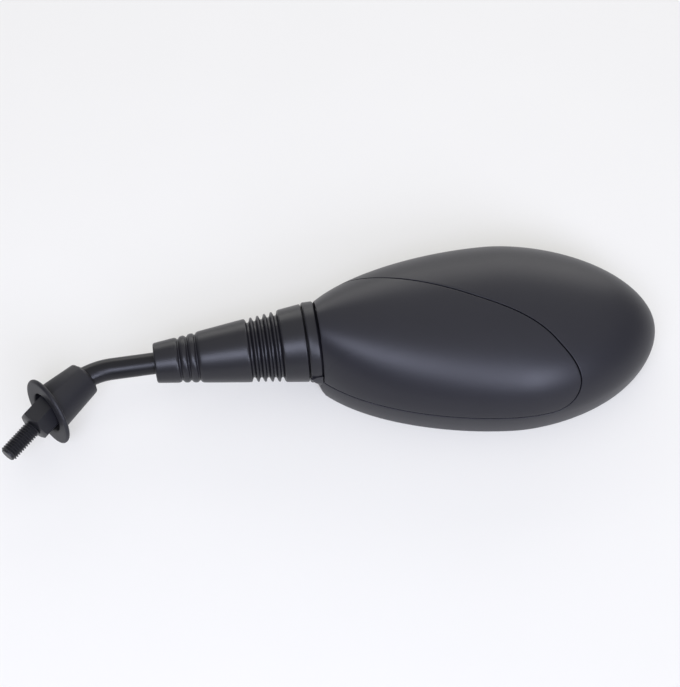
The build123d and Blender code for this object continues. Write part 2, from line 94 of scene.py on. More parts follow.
# Mouth of the head and the cradle under the collar's ring
ring_front = boot_high.x + 0.8
ring_back = ring_front + 4.9
ring_r = collar_high.z
mouth_x = ring_back + 0.6
bulkhead_x = collar_high.x + 0.3
cradle_r = ring_r + 0.4
saddle_wall = 1.4
saddle_edge = 0.3
saddle_bite = 0.5
saddle_run = 9.0
saddle_depth = 1.9
saddle_blend = 0.8
saddle_floor_z = rim_z + 0.1
chin_slant = radians(13.0)
chin_depth = 1.7
chin_overlap = 0.3
chin_edge = 1.5
bore_start_x = -5.0
bore_end_x = 40.0
cradle_back_x = bulkhead_x + 0.05
socket_bore_r = 10.6
cut_reach = 60.0

# Cover panel
panel_middle = Vector((85.0, -14.0))
panel_t = 2.0
panel_gap = 0.45
panel_lip = 0.5
recess_lip = 0.35
recess_depth = 2.35
panel_edge_z = -5.0
panel_corner_r = 14.0
leaf_curve = [Vector(p) for p in ((17.9, 27.0), (45.7, 21.3), (93.3, -0.2), (128.6, -27.4), (137.8, -44.0))]
leaf_start_way = Vector((1.0, -0.15))
leaf_end_way = Vector((0.0, -1.0))
leaf_steps = 24

# Mirror glass
glass_radius = 1400.0
glass_t = 2.2
glass_recess = 0.8
glass_inset = 4.2
glass_room = 0.4
glass_nose_x = bulkhead_x + 7.5
glass_corner_r = 9.0
glass_edge = 0.35
glass_edge_middle = glass_edge * 0.3
ledge_z = rim_z + 7.8
ledge_w = 1.8
ledge_t = 2.6

# Rounded edges of the rim's underside, outside and at the pocket: (distance from the wall, height)
rim_edge = ((0.0, 0.5), (0.07, 0.22), (0.28, 0.05), (0.6, 0.0))
pocket_edge = ((0.5, 0.0), (0.2, 0.05), (0.05, 0.2), (0.0, 0.5))

# Fineness of the meshes
round_steps = 96
head_steps = 360
fine_steps = 4 * head_steps
skin_rows = 56
glass_rings = 24
merge_gap = 0.002
sliver_length = 0.003
plane_gap = 0.0001
halvings = 26


def to_frame(point):
    """A point in millimetres about the ball, in the frame's metres."""
    return neck + Vector(point) * MM


# Modelling

def nothing_selected():
    """Deselects every object."""
    bpy.ops.object.select_all(action="DESELECT")


def only(piece):
    """Makes one piece the active and selected one."""
    nothing_selected()
    piece.select_set(True)
    bpy.context.view_layer.objects.active = piece


def sew(piece):
    """Merges the corners that lie on each other and turns the faces outwards."""
    only(piece)
    bpy.ops.object.mode_set(mode="EDIT")
    bpy.ops.mesh.select_all(action="SELECT")
    bpy.ops.mesh.remove_doubles(threshold=merge_gap * MM)
    bpy.ops.mesh.delete_loose()
    bpy.ops.mesh.select_all(action="SELECT")
    bpy.ops.mesh.normals_make_consistent(inside=False)
    bpy.ops.object.mode_set(mode="OBJECT")


def smooth(piece, angle=35.0):
    """Smooth shading with hard edges where the faces turn sharply."""
    only(piece)
    bpy.ops.object.shade_smooth_by_angle(angle=radians(angle))


def wrapped(name, across, along, place):
    """A grid of faces, each corner moved to place(u, v) with u round the piece, then sewn up."""
    nothing_selected()
    bpy.ops.mesh.primitive_grid_add(x_subdivisions=across, y_subdivisions=along, size=2.0)
    piece = bpy.context.object
    piece.name = name
    for corner in piece.data.vertices:
        corner.co = to_frame(place(round((corner.co.x + 1) / 2 * across), round((corner.co.y + 1) / 2 * along)))
    sew(piece)
    return piece


def spun(name, outline, start=(0, 0, 0), way=(1, 0, 0), steps=round_steps):
    """A closed outline of (distance along the axis, radius) turned once round that axis."""
    start, way = Vector(start), Vector(way).normalized()
    side = way.orthogonal().normalized()
    corners = [to_frame(start + way * along + side * radius) for along, radius in outline]
    lines = [(i, (i + 1) % len(corners)) for i in range(len(corners))]
    mesh = bpy.data.meshes.new(name)
    mesh.from_pydata(corners, lines, [])
    piece = bpy.data.objects.new(name, mesh)
    bpy.context.scene.collection.objects.link(piece)
    only(piece)
    bpy.ops.object.mode_set(mode="EDIT")
    bpy.ops.mesh.select_all(action="SELECT")
    bpy.ops.mesh.spin(steps=steps, angle=2 * pi, center=to_frame(start), axis=way)
    bpy.ops.object.mode_set(mode="OBJECT")
    sew(piece)
    return piece


def rounded(corners, steps=5):
    """An outline from (along, radius, fillet) corners, each rounded by its own fillet."""
    outline = []
    count = len(corners)
    for index, (x, y, fillet) in enumerate(corners):
        here = Vector((x, y))
        before = Vector(corners[index - 1][:2]) - here
        after = Vector(corners[(index + 1) % count][:2]) - here
        if fillet == 0:
            outline.append(here)
            continue
        half = acos(max(-1.0, min(1.0, before.normalized().dot(after.normalized())))) / 2
        reach = fillet / tan(half)
        middle = here + (before.normalized() + after.normalized()).normalized() * fillet / sin(half)
        first = here + before.normalized() * reach - middle
        last = here + after.normalized() * reach - middle
        for step in range(steps + 1):
            outline.append(middle + first.slerp(last, step / steps))
    return outline


def cut(piece, tool, operation="DIFFERENCE"):
    """Cuts one piece with another and removes the tool."""
    only(piece)
    modifier = piece.modifiers.new("cut", "BOOLEAN")
    modifier.operation = operation
    modifier.object = tool
    modifier.solver = "EXACT"
    bpy.ops.object.modifier_apply(modifier=modifier.name)
    bpy.data.objects.remove(tool)


def block(name, low, high):
    """A box between two corners."""
    nothing_selected()
    low, high = Vector(low), Vector(high)
    bpy.ops.mesh.primitive_cube_add(size=1.0)
    piece = bpy.context.object
    piece.name = name
    for corner in piece.data.vertices:
        share = corner.co + Vector((0.5, 0.5, 0.5))
        corner.co = to_frame(low + (high - low) * share)
    return piece


# Head

def egg(x, nose_power, tip_power, inset=0.0):
    """Share of the full width at x, from the blunt nose to the round tip."""
    if x < head_wide_x:
        share = (head_wide_x - x) / (head_wide_x - head_nose_x - inset)
        return max(0.0, 1 - share ** egg_power) ** nose_power
    share = (x - head_wide_x) / (head_tip_x - inset - head_wide_x)
    return max(0.0, 1 - share ** egg_power) ** tip_power


def half_width(x, inset=0.0):
    """Half of the head's width at its widest level."""
    return (head_half_w - inset) * egg(x, nose_fullness, tip_fullness, inset)


def lean(x):
    """Middle of the head's outline, off the neck's axis."""
    share = max(0.0, x - lean_start_x) / (head_tip_x - lean_start_x)
    return -head_lean * share


def back_z(x, y):
    """Height of the head's back at a place in plan."""
    width = half_width(x)
    share = (y - lean(x)) / width if width > 0 else 1.0
    crown = head_crown * egg(x, crown_nose_fullness, crown_tip_fullness)
    return head_wide_z + crown * sqrt(max(0.0, 1 - share ** 2))


def in_head(x, y, drop=0.0):
    """Whether a place in plan lies inside the head's outline, so far below its widest level."""
    if not head_nose_x < x < head_tip_x:
        return False
    keel = head_keel * egg(x, nose_fullness, tip_fullness) ** keel_fullness
    return drop < keel and abs(y - lean(x)) < half_width(x) * sqrt(1 - (drop / keel) ** 2)


def in_glass(x, y, grow):
    """Whether a place in plan lies inside the glass's outline, or one further out."""
    over_side = abs(y - lean(x)) - half_width(x, glass_inset - grow)
    over_nose = glass_nose_x - grow - x
    if x >= head_tip_x - glass_inset + grow or max(over_side, over_nose) >= 0:
        return False
    inner_side, inner_nose = over_side + glass_corner_r, over_nose + glass_corner_r
    return inner_side < 0 or inner_nose < 0 or hypot(inner_side, inner_nose) < glass_corner_r


def leaf_line():
    """The panel's curve across the back: a smooth line through its points, then straight to the near side."""
    chords = [(b - a).length for a, b in zip(leaf_curve, leaf_curve[1:])]
    ways = [leaf_start_way.normalized()]
    for index in range(1, len(leaf_curve) - 1):
        before = (leaf_curve[index] - leaf_curve[index - 1]) / chords[index - 1]
        after = (leaf_curve[index + 1] - leaf_curve[index]) / chords[index]
        share = chords[index - 1] / (chords[index - 1] + chords[index])
        ways.append(before.lerp(after, share))
    ways.append(leaf_end_way)
    line = []
    for index, chord in enumerate(chords):
        a, b = leaf_curve[index], leaf_curve[index + 1]
        for step in range(leaf_steps):
            t = step / leaf_steps
            line.append(a * (2 * t ** 3 - 3 * t ** 2 + 1) + ways[index] * chord * (t ** 3 - 2 * t ** 2 + t)
                        + b * (3 * t ** 2 - 2 * t ** 3) + ways[index + 1] * chord * (t ** 3 - t ** 2))
    return line + [leaf_curve[-1], leaf_curve[-1] + leaf_end_way * head_half_w]


leaf_edge = leaf_line()


def inside_leaf_edge(x, y):
    """Distance of a place in plan from the panel's curve, positive on the panel's side."""
    place = Vector((x, y))
    nearest, side = None, 1.0
    for a, b in zip(leaf_edge, leaf_edge[1:]):
        run = b - a
        share = max(0.0, min(1.0, (place - a).dot(run) / run.length_squared))
        off = place - (a + run * share)
        if nearest is None or off.length < nearest:
            nearest = off.length
            side = 1.0 if run.x * off.y - run.y * off.x < 0 else -1.0
    return nearest * side


def in_leaf(point, grow):
    """Whether a point of the head's back lies under the cover panel, or within its joint."""
    x, y, z = point
    corner = panel_corner_r + grow
    inside = inside_leaf_edge(x, y) + grow
    if inside <= 0 or x < mouth_x - grow:
        return False
    short = max(0.0, corner - inside)
    return z > panel_edge_z - grow + corner - sqrt(corner ** 2 - short ** 2)


def furthest(inside, limit):
    """The largest value for which inside() still holds, between nought and a limit."""
    low, high = 0.0, limit
    for _ in range(halvings):
        middle = (low + high) / 2
        if inside(middle):
            low = middle
        else:
            high = middle
    return low


class Ray:
    """One direction in plan from the panel's middle, with the places that it crosses on the head."""

    def __init__(self, angle):
        self.way = Vector((cos(angle), sin(angle)))
        self.reach = self.outline(0.0)

    def plan(self, distance):
        return panel_middle + self.way * distance

    def outline(self, drop):
        """Distance of the head's outline, so far below its widest level."""
        return furthest(lambda r: in_head(*self.plan(r), drop), 2 * head_wide_x)

    def skin(self, share):
        """Point on the outer surface: up to 1 from the middle to the widest level, then down the rim to 2."""
        if share <= 1:
            x, y = self.plan(self.reach * sin(share * pi / 2))
            return Vector((x, y, back_z(x, y)))
        drop = wide_height * (share - 1)
        return Vector((*self.plan(self.outline(drop)), head_wide_z - drop))

    def along(self, share):
        """Millimetres of surface for each unit of share."""
        step = 0.001
        return (self.skin(share + step) - self.skin(share - step)).length / (2 * step)


def ray_fan():
    """Rays in even steps along the head's outline, with the first one again at the end."""
    fine = [Ray(2 * pi * index / fine_steps) for index in range(fine_steps)]
    spots = [ray.plan(ray.reach) for ray in fine]
    walked = [0.0]
    for a, b in zip(spots, spots[1:] + spots[:1]):
        walked.append(walked[-1] + (b - a).length)
    rays = []
    for index in range(head_steps):
        target = walked[-1] * index / head_steps
        place = max(1, bisect_left(walked, target))
        share = (target - walked[place - 1]) / (walked[place] - walked[place - 1])
        rays.append(Ray(2 * pi * (place - 1 + share) / fine_steps))
    return rays + rays[:1]


rays = ray_fan()
for index, ray in enumerate(rays):
    ray.left, ray.right = rays[index - 1 if index else head_steps - 1], rays[index % head_steps + 1]
    ray.panel_edge = furthest(lambda share: in_leaf(ray.skin(share), 0.0), 1.0)
    ray.recess_edge = furthest(lambda share: in_leaf(ray.skin(share), panel_gap), 1.0)
    ray.rim = ray.outline(wide_height)
    ray.pocket = furthest(lambda r: in_glass(*ray.plan(r), glass_room), 2 * head_wide_x)
    ray.glass = furthest(lambda r: in_glass(*ray.plan(r), 0.0), 2 * head_wide_x)


def under_skin(ray, share, depth):
    """Point so far below the outer surface."""
    step = 0.004
    if share == 0:
        ray = rays[0]
    low, high = max(0.0, share - step), share + step
    over = ray.right.skin(max(share, step)) - ray.left.skin(max(share, step))
    out = ray.skin(high) - ray.skin(low)
    normal = out.cross(over)
    if normal.dot(ray.skin(share) - Vector((*panel_middle, head_wide_z))) < 0:
        normal.negate()
    return ray.skin(share) - normal.normalized() * depth


def lip_rows(radius, inward):
    """Rounded lip: (millimetres from the edge, millimetres below the surface), from its foot to the surface."""
    rows = []
    for turn in (90, 70, 50, 30, 12, 0):
        rows.append((inward * radius * (1 - sin(radians(turn))), radius * (1 - cos(radians(turn)))))
    return rows


def housing_rows():
    """The housing from the middle of its floor, over its back and rim and up inside again."""
    def floor(share):
        return lambda ray: under_skin(ray, share * ray.recess_edge, recess_depth)

    def lip(off, depth):
        return lambda ray: under_skin(ray, ray.recess_edge + off / ray.along(ray.recess_edge), depth)

    def back(share):
        def place(ray):
            start = ray.recess_edge + recess_lip / ray.along(ray.recess_edge)
            return ray.skin(start + (1 - start) * share)
        return place

    def rim(share):
        return lambda ray: ray.skin(1 + share)

    def below(inset, height):
        return lambda ray: (*ray.plan(ray.rim - inset), rim_z + height)

    def pocket(out, height):
        return lambda ray: (*ray.plan(ray.pocket + out), rim_z + height)

    def dome(share):
        return lambda ray: under_skin(ray, share * dome_reach, recess_depth + wall)

    rows = [floor(share) for share in (0.0, 0.25, 0.5, 0.75, 0.95, 1.0)]
    rows += [lip(0.0, recess_depth * share) for share in (0.7, 0.4)]
    rows += [lip(off, depth) for off, depth in lip_rows(recess_lip, 1)]
    rows += [back((index + 1) / skin_rows) for index in range(skin_rows)]
    rows += [rim(share) for share in (0.12, 0.24, 0.36, 0.48, 0.6, 0.72, 0.84, 0.93)]
    rows += [below(inset, height) for inset, height in rim_edge]
    rows += [pocket(out, height) for out, height in pocket_edge]
    rows += [pocket(0.0, ledge_z - rim_z), pocket(-ledge_w, ledge_z - rim_z)]
    rows += [pocket(-ledge_w, ledge_z - rim_z + ledge_t)]
    rows += [dome(share) for share in (1.0, 0.85, 0.7, 0.5, 0.3, 0.15, 0.0)]
    return rows


def panel_rows():
    """The cover panel from the middle of its back, over its edge and back to the middle of its underside."""
    def outer(share):
        return lambda ray: ray.skin(share * (ray.panel_edge - panel_lip / ray.along(ray.panel_edge)))

    def lip(off, depth):
        return lambda ray: under_skin(ray, ray.panel_edge + off / ray.along(ray.panel_edge), depth)

    def inner(share):
        return lambda ray: under_skin(ray, share * ray.panel_edge, panel_t)

    rows = [outer(index / skin_rows) for index in range(skin_rows)]
    rows += [lip(off, depth) for off, depth in reversed(lip_rows(panel_lip, -1))]
    rows += [lip(0.0, panel_t * share) for share in (0.5, 0.8)]
    rows += [inner(share) for share in (1.0, 0.95, 0.8, 0.6, 0.4, 0.2, 0.0)]
    return rows


def glass_rows():
    """The glass from the middle of its front, over its ground edge to the middle of its back."""
    def face(share, depth, inset=0.0):
        def place(ray):
            x, y = ray.plan((ray.glass - inset) * share)
            bulge = ((x - glass_middle.x) ** 2 + (y - glass_middle.y) ** 2) / (2 * glass_radius)
            return (x, y, rim_z + glass_recess + bulge + depth)
        return place

    rows = [face(index / glass_rings, 0.0, glass_edge) for index in range(glass_rings + 1)]
    rows += [face(1.0, glass_edge_middle, glass_edge_middle), face(1.0, glass_edge)]
    rows += [face(1.0, glass_t - glass_edge), face(1.0, glass_t, glass_edge)]
    rows += [face(share, glass_t, glass_edge) for share in (0.9, 0.7, 0.45, 0.2, 0.0)]
    return rows


glass_middle = Vector(((glass_nose_x + head_tip_x) / 2, lean((glass_nose_x + head_tip_x) / 2)))


def head_piece(name, rows):
    """A closed shell through rows of points, each row once round the head."""
    return wrapped(name, head_steps, len(rows) - 1, lambda u, v: rows[v](rays[u]))


def chin_front_x(z):
    """Place of the chin's slanted front at a height."""
    return ring_front - z * tan(chin_slant)


def chin_reach(turn, behind):
    """Distance of the head's outline from the neck's axis, so far behind the chin's front."""
    def inside(r):
        y, z = r * cos(turn), r * sin(turn)
        return in_head(chin_front_x(z) + behind, y, max(0.0, head_wide_z - z))

    return furthest(inside, 2 * cradle_r)


def saddle_section(turn):
    """Section of the cradle's wall in a direction round the neck's axis, from its inner front corner round."""
    share = min(1.0, -sin(turn) * cradle_r / saddle_run)
    swell = share ** 2 * (3 - 2 * share)
    plain = cradle_r + saddle_edge + (saddle_wall - saddle_edge) * swell
    floor_reach = -saddle_floor_z / max(0.01, -sin(turn))

    def outer(behind):
        chin = chin_reach(turn, behind)
        joined = (plain + chin + hypot(plain - chin, saddle_blend)) / 2
        return min(joined, floor_reach)

    inner, near, far = cradle_r - saddle_bite, outer(0.0), outer(chin_depth)
    front, near_x = chin_front_x(inner * sin(turn)), chin_front_x(near * sin(turn))
    far_x = chin_front_x(far * sin(turn)) + chin_depth
    back = max(mouth_x - panel_gap, far_x + saddle_depth)
    edge = saddle_edge + (chin_edge - saddle_edge) * swell
    return rounded([(front, inner, 0), (near_x, near, edge), (far_x, far, 0), (back, far, 0), (back, inner, 0)])


def saddle():
    """Half-round wall below the ring that runs into the chin, with a slanted front and a rounded edge."""
    turns = [pi * (1 + step / round_steps) for step in range(round_steps + 1)]
    sections = [saddle_section(turn) for turn in turns]

    def place(u, v):
        level = max(0, min(round_steps, u - 1))
        turn, section = turns[level], sections[level]
        along, radius = section[v % len(section)]
        if u != level + 1:
            along, radius = (section[0].x + section[-1].x) / 2, cradle_r + saddle_edge / 2
        return (along, radius * cos(turn), radius * sin(turn))

    return wrapped("saddle", round_steps + 2, len(sections[0]), place)


housing = head_piece("head_housing", housing_rows())
cut(housing, block("mouth_opening", (0, -cut_reach, panel_edge_z - panel_gap), (bulkhead_x, cut_reach, cut_reach)))
chin_front = block("chin_front", (-cut_reach, -cut_reach, -cut_reach),
                   (chin_depth - chin_overlap, cut_reach, cut_reach))
chin_front.data.transform(Matrix.Translation(to_frame((ring_front, 0, 0))) @ Matrix.Rotation(-chin_slant, 4, "Y")
                          @ Matrix.Translation(-neck))
cut(housing, chin_front)
cut(housing, saddle(), "UNION")
cut(housing, spun("cradle_bore", [
    (bore_start_x, 0), (bore_start_x, cradle_r), (cradle_back_x, cradle_r), (cradle_back_x, socket_bore_r),
    (bore_end_x, socket_bore_r), (bore_end_x, 0)]))
panel = head_piece("cover_panel", panel_rows())
glass = head_piece("mirror_glass_lens", glass_rows())
for piece in (housing, panel, glass):
    smooth(piece)


# Neck: boot and collar

boot_narrow_r = 9.15
boot_wide_r = boot_high.z
boot_bore_r = 5.05
boot_wall = 2.3
boot_edge = 0.7
boot_grip_x = boot_low.x + 11.0
rib_groove_x = -39.0
rib_groove_pitch = 3.95
rib_groove_w = 1.2
rib_groove_depth = 1.1
rib_groove_steepness = 2.5
rib_groove_count = 3
fold_pitch = 3.2
fold_w = 1.7
fold_depth = 2.2
fold_steepness = 5
fold_count = 5
fold_wall = 1.3
spigot_x = ring_front - 7.7
spigot_r = 15.0
boot_step = 0.2
boot_bore_steps = 24


def boot_cone(x):
    """The boot's plain cone."""
    return boot_narrow_r + (x - boot_low.x) / (boot_high.x - boot_low.x) * (boot_wide_r - boot_narrow_r)


def groove(off, width, steepness):
    """Share of a groove's depth beside its middle, with round shoulders."""
    return 1 / (1 + (abs(off) / (width / 2)) ** steepness)


def boot_surface(x):
    """The boot's outside: soft grooves near the thin end and steep ones over the ball."""
    radius = boot_cone(x)
    for index in range(rib_groove_count):
        off = x - rib_groove_x - index * rib_groove_pitch
        radius -= rib_groove_depth * groove(off, rib_groove_w, rib_groove_steepness)
    for index in range(fold_count):
        off = x - (index - (fold_count - 1) / 2) * fold_pitch
        radius -= fold_depth * groove(off, fold_w, fold_steepness)
    return radius


def boot_outline():
    """The boot's outside from the thin end to the mouth and its bore on the way back."""
    start, end, thin_r = boot_low.x, boot_high.x, boot_cone(boot_low.x)
    outline = [(start, boot_bore_r), (start, thin_r - boot_edge)]
    for turn in (radians(30), radians(60)):
        outline.append((start + boot_edge * (1 - cos(turn)), thin_r - boot_edge * (1 - sin(turn))))
    run = end - start - 2 * boot_edge
    count = round(run / boot_step)
    for index in range(count + 1):
        x = start + boot_edge + run * index / count
        outline.append((x, boot_surface(x)))
    for turn in (radians(30), radians(60)):
        outline.append((end - boot_edge * (1 - sin(turn)), boot_wide_r - boot_edge * (1 - cos(turn))))
    outline += [(end, boot_wide_r - boot_edge), (end, spigot_r), (spigot_x, spigot_r)]
    last = (fold_count - 1) / 2 * fold_pitch
    outline.append((spigot_x, boot_cone(last) - fold_depth - fold_wall))
    for index in range(boot_bore_steps + 1):
        x = last - 2 * last * index / boot_bore_steps
        outline.append((x, boot_cone(x) - fold_depth - fold_wall))
    return outline + [(boot_grip_x, boot_cone(boot_grip_x) - boot_wall), (boot_grip_x, boot_bore_r)]


boot = spun("ribbed_boot", boot_outline())
smooth(boot, angle=40.0)

collar_bore_r = 10.46
collar_spigot_r = spigot_r - 0.3
collar_edge = 0.3
hub_r = 13.46
ring_edge = 0.7
ring_hollow_r = spigot_r + 2.1
ring_hollow_x = ring_back - 3.0
collar = spun("neck_ring", rounded([
    (collar_low.x, collar_bore_r, 0), (collar_low.x, collar_spigot_r, collar_edge), (ring_front, collar_spigot_r, 0),
    (ring_front, ring_r, ring_edge), (ring_back, ring_r, ring_edge), (ring_back, ring_hollow_r, collar_edge),
    (ring_hollow_x, ring_hollow_r, 0), (ring_hollow_x, hub_r, 0), (collar_high.x, hub_r, collar_edge),
    (collar_high.x, collar_bore_r, 0)]))
smooth(collar)


# Stem: rod, cap, hexagon and stud

rod_r = 5.0
bend_corner = Vector((-82.7, 0.0, 0.0))
bend_radius = 31.0
bend_angle = acos(-stud_way.x)
bend_reach = bend_radius * tan(bend_angle / 2)
rod_start = -11.0
rod_sides = 48
bend_steps = 28
seat_reach = (seat - bend_corner).length
hex_length = 13.4
hex_af = 14.0
hex_turn = radians(24.0)
hex_chamfer = 0.7
hex_chamfer_turn = radians(30.0)
hex_edge = 0.12
hex_edge_turn = radians(25.0)
rod_hole_depth = 10.0
hole_overlap = 1.0
rod_engagement = 9.0
rod_end = seat_reach - hex_length + rod_engagement


def bent_rod():
    """Rod drawn from the ball's neck: straight, round the bend, straight into the hexagon."""
    nothing_selected()
    bpy.ops.mesh.primitive_circle_add(vertices=rod_sides, radius=rod_r * MM, fill_type="NOTHING")
    piece = bpy.context.object
    piece.name = "bent_stem"
    piece.data.transform(Matrix.Translation(to_frame((rod_start, 0, 0))) @ Matrix.Rotation(pi / 2, 4, "Y"))
    bpy.ops.object.mode_set(mode="EDIT")
    bpy.ops.mesh.select_all(action="SELECT")
    straight = bend_corner.x + bend_reach - rod_start
    bpy.ops.mesh.extrude_region_move(TRANSFORM_OT_translate={"value": (straight * MM, 0, 0)})
    middle = bend_corner + Vector((bend_reach, -bend_radius, 0))
    bpy.ops.mesh.spin(steps=bend_steps, angle=bend_angle, center=to_frame(middle), axis=(0, 0, -1))
    run = stud_way * (rod_end - bend_reach) * MM
    bpy.ops.mesh.extrude_region_move(TRANSFORM_OT_translate={"value": run})
    bpy.ops.mesh.select_all(action="SELECT")
    bpy.ops.mesh.region_to_loop()
    bpy.ops.mesh.edge_face_add()
    bpy.ops.object.mode_set(mode="OBJECT")
    sew(piece)
    return piece


rod = bent_rod()
smooth(rod)

cap_turn = radians(4.8)
cap_length = 23.4
cap_set_back = 9.6
cap_end_wall = 2.4
cap_hole_r, cap_hole_edge = 5.9, 0.4
cap_narrow_r, cap_narrow_edge = 8.4, 1.2
cap_wide_r = 10.8
cap_foot_r, cap_foot_edge = 11.0, 0.6
cap_inner_r, cap_inner_edge = 7.8, 0.6
cap_mouth_r, cap_mouth_edge = 9.9, 0.4
cap_grip, cap_free = 19.0, 4.5
flange_turn, flange_rise = radians(8.2), radians(10.0)
flange_r, flange_t, flange_edge = 15.0, 0.8, 0.35
flange_foot = 1.4
skew_start, skew_end = -12.0, -2.2
cap_mouth = bend_corner + stud_way * (seat_reach - cap_set_back)
cap_bottom = cap_end_wall - cap_length


def outward(turn, rise):
    """Direction out of the cap's mouth, turned back from the stud and raised."""
    level = bend_angle - turn
    return Vector((-cos(level) * cos(rise), -sin(level) * cos(rise), sin(rise)))


def bell_cap():
    """Rubber bell on the bend's end, its thin flange pushed askew."""
    way, askew = outward(cap_turn, 0.0), outward(cap_turn + flange_turn, flange_rise)
    piece = spun("bell_cap", rounded([
        (-cap_length, cap_hole_r, cap_hole_edge), (-cap_length, cap_narrow_r, cap_narrow_edge),
        (skew_end, cap_wide_r, 0), (-flange_foot, cap_foot_r, cap_foot_edge), (-flange_t, flange_r, flange_edge),
        (0.0, flange_r, flange_edge), (0.0, cap_mouth_r, cap_mouth_edge), (cap_bottom, cap_inner_r, cap_inner_edge),
        (cap_bottom, cap_hole_r, 0)]), cap_mouth, way)
    for corner in piece.data.vertices:
        place = (corner.co - to_frame(cap_mouth)) / MM
        along = place.dot(way)
        share = max(0.0, min(1.0, (along - skew_start) / (skew_end - skew_start)))
        lean_back = askew.dot(place - way * along) / askew.dot(way)
        corner.co -= way * lean_back * share ** 2 * (3 - 2 * share) * MM
    return piece


cap = bell_cap()
smooth(cap)


def on_stud(distance):
    """Place on the stud's axis, from the bend's corner."""
    return bend_corner + stud_way * distance


def stud_matrix(distance):
    """Turns Z to the stud's axis and X to straight up, at a distance from the bend's corner."""
    up = Vector((0, 0, 1))
    turn = Matrix((up, stud_way.cross(up), stud_way)).transposed().to_4x4()
    return Matrix.Translation(to_frame(on_stud(distance))) @ turn


def hexagon(name, af, start, length, chamfer):
    """Hexagon bar whose corners a turned blank takes off at both ends."""
    nothing_selected()
    corner_r = af / sqrt(3)
    bpy.ops.mesh.primitive_cylinder_add(vertices=6, radius=corner_r * MM, depth=length * MM)
    piece = bpy.context.object
    piece.name = name
    turn = Matrix.Rotation(-hex_turn - pi / 6, 4, "Z")
    piece.data.transform(stud_matrix(start + length / 2) @ turn)
    flat_r = af / 2 - chamfer
    ease = (corner_r - flat_r) * tan(hex_chamfer_turn)
    blank = [(0, 0), (0, flat_r), (ease, corner_r), (length - ease, corner_r), (length, flat_r), (length, 0)]
    cut(piece, spun("hex_blank", blank, on_stud(start), stud_way), "INTERSECT")
    return piece


stud_r = 4.0
stud_length = 17.0
stud_foot = 0.3
stud_chamfer = 1.0
pitch = 1.25
thread_depth = 0.613 * pitch
crest_round = 0.05
root_round = 0.06
spare_turns = 2
thread_steps = 64


def threaded_stud():
    """Thread drawn as one turn of its profile, screwed along the stud and cut off square at both ends."""
    root, shoulder = stud_r - thread_depth, stud_r - crest_round
    profile = ((0.0, root), (0.2, root), (0.27, root + root_round), (0.55, shoulder), (0.6, stud_r), (0.68, stud_r),
               (0.73, shoulder))
    start, turns = -spare_turns * pitch, int(stud_length / pitch) + 2 * spare_turns
    corners = []
    for turn in range(turns):
        low = start + turn * pitch
        for share, radius in profile:
            corners.append((radius * MM, 0, (low + share * pitch) * MM))
    corners.append((root * MM, 0, (start + turns * pitch) * MM))
    mesh = bpy.data.meshes.new("threaded_stud")
    mesh.from_pydata(corners, [(i, i + 1) for i in range(len(corners) - 1)], [])
    piece = bpy.data.objects.new("threaded_stud", mesh)
    bpy.context.scene.collection.objects.link(piece)
    only(piece)
    screw = piece.modifiers.new("thread", "SCREW")
    screw.axis = "Z"
    screw.angle = 2 * pi
    screw.screw_offset = pitch * MM
    screw.steps = screw.render_steps = thread_steps
    screw.use_merge_vertices = True
    screw.merge_threshold = merge_gap * MM
    bpy.ops.object.modifier_apply(modifier=screw.name)
    bpy.ops.object.mode_set(mode="EDIT")
    for level, side in ((-stud_foot, -1), (stud_length, 1)):
        bpy.ops.mesh.select_all(action="SELECT")
        bpy.ops.mesh.bisect(plane_co=(0, 0, level * MM), plane_no=(0, 0, side), use_fill=True, clear_outer=True,
                            threshold=plane_gap * MM)
    bpy.ops.object.mode_set(mode="OBJECT")
    for corner in mesh.vertices:
        radius = hypot(corner.co.x, corner.co.y)
        limit = (stud_r - stud_chamfer + (stud_length - corner.co.z / MM)) * MM
        if radius > limit:
            corner.co.x *= limit / radius
            corner.co.y *= limit / radius
    mesh.transform(stud_matrix(seat_reach))
    sew(piece)
    return piece


adapter = hexagon("hexagon_and_stud", hex_af, seat_reach - hex_length, hex_length, hex_chamfer)
cut(adapter, spun("rod_hole", [
    (-hole_overlap, 0), (-hole_overlap, rod_r), (rod_hole_depth, rod_r), (rod_hole_depth, 0)],
    on_stud(seat_reach - hex_length), stud_way))
only(adapter)
edge = adapter.modifiers.new("edge", "BEVEL")
edge.width = hex_edge * MM
edge.segments = 2
edge.limit_method = "ANGLE"
edge.angle_limit = hex_edge_turn
bpy.ops.object.modifier_apply(modifier=edge.name)
bpy.ops.object.mode_set(mode="EDIT")
bpy.ops.mesh.select_all(action="SELECT")
bpy.ops.mesh.dissolve_degenerate(threshold=sliver_length * MM)
bpy.ops.object.mode_set(mode="OBJECT")
cut(adapter, threaded_stud(), "UNION")
smooth(adapter)


# Finishes

# Feature sizes of the soft clouds, in millimetres
moulding_cloud = 14.0
metal_cloud = 9.0
haze_cloud = 30.0
table_cloud = 60.0


class Signal:
    """A value on a shader's wire: arithmetic on it adds Math nodes."""

    def __init__(self, finish, socket):
        self.finish, self.socket = finish, socket

    def math(self, operation, first, second):
        return self.finish.node("ShaderNodeMath", {"operation": operation}, {0: first, 1: second})

    def __add__(self, other):
        return self.math("ADD", self, other)

    def __sub__(self, other):
        return self.math("SUBTRACT", self, other)

    def __rsub__(self, other):
        return self.math("SUBTRACT", other, self)

    def __mul__(self, other):
        return self.math("MULTIPLY", self, other)

    __radd__ = __add__
    __rmul__ = __mul__


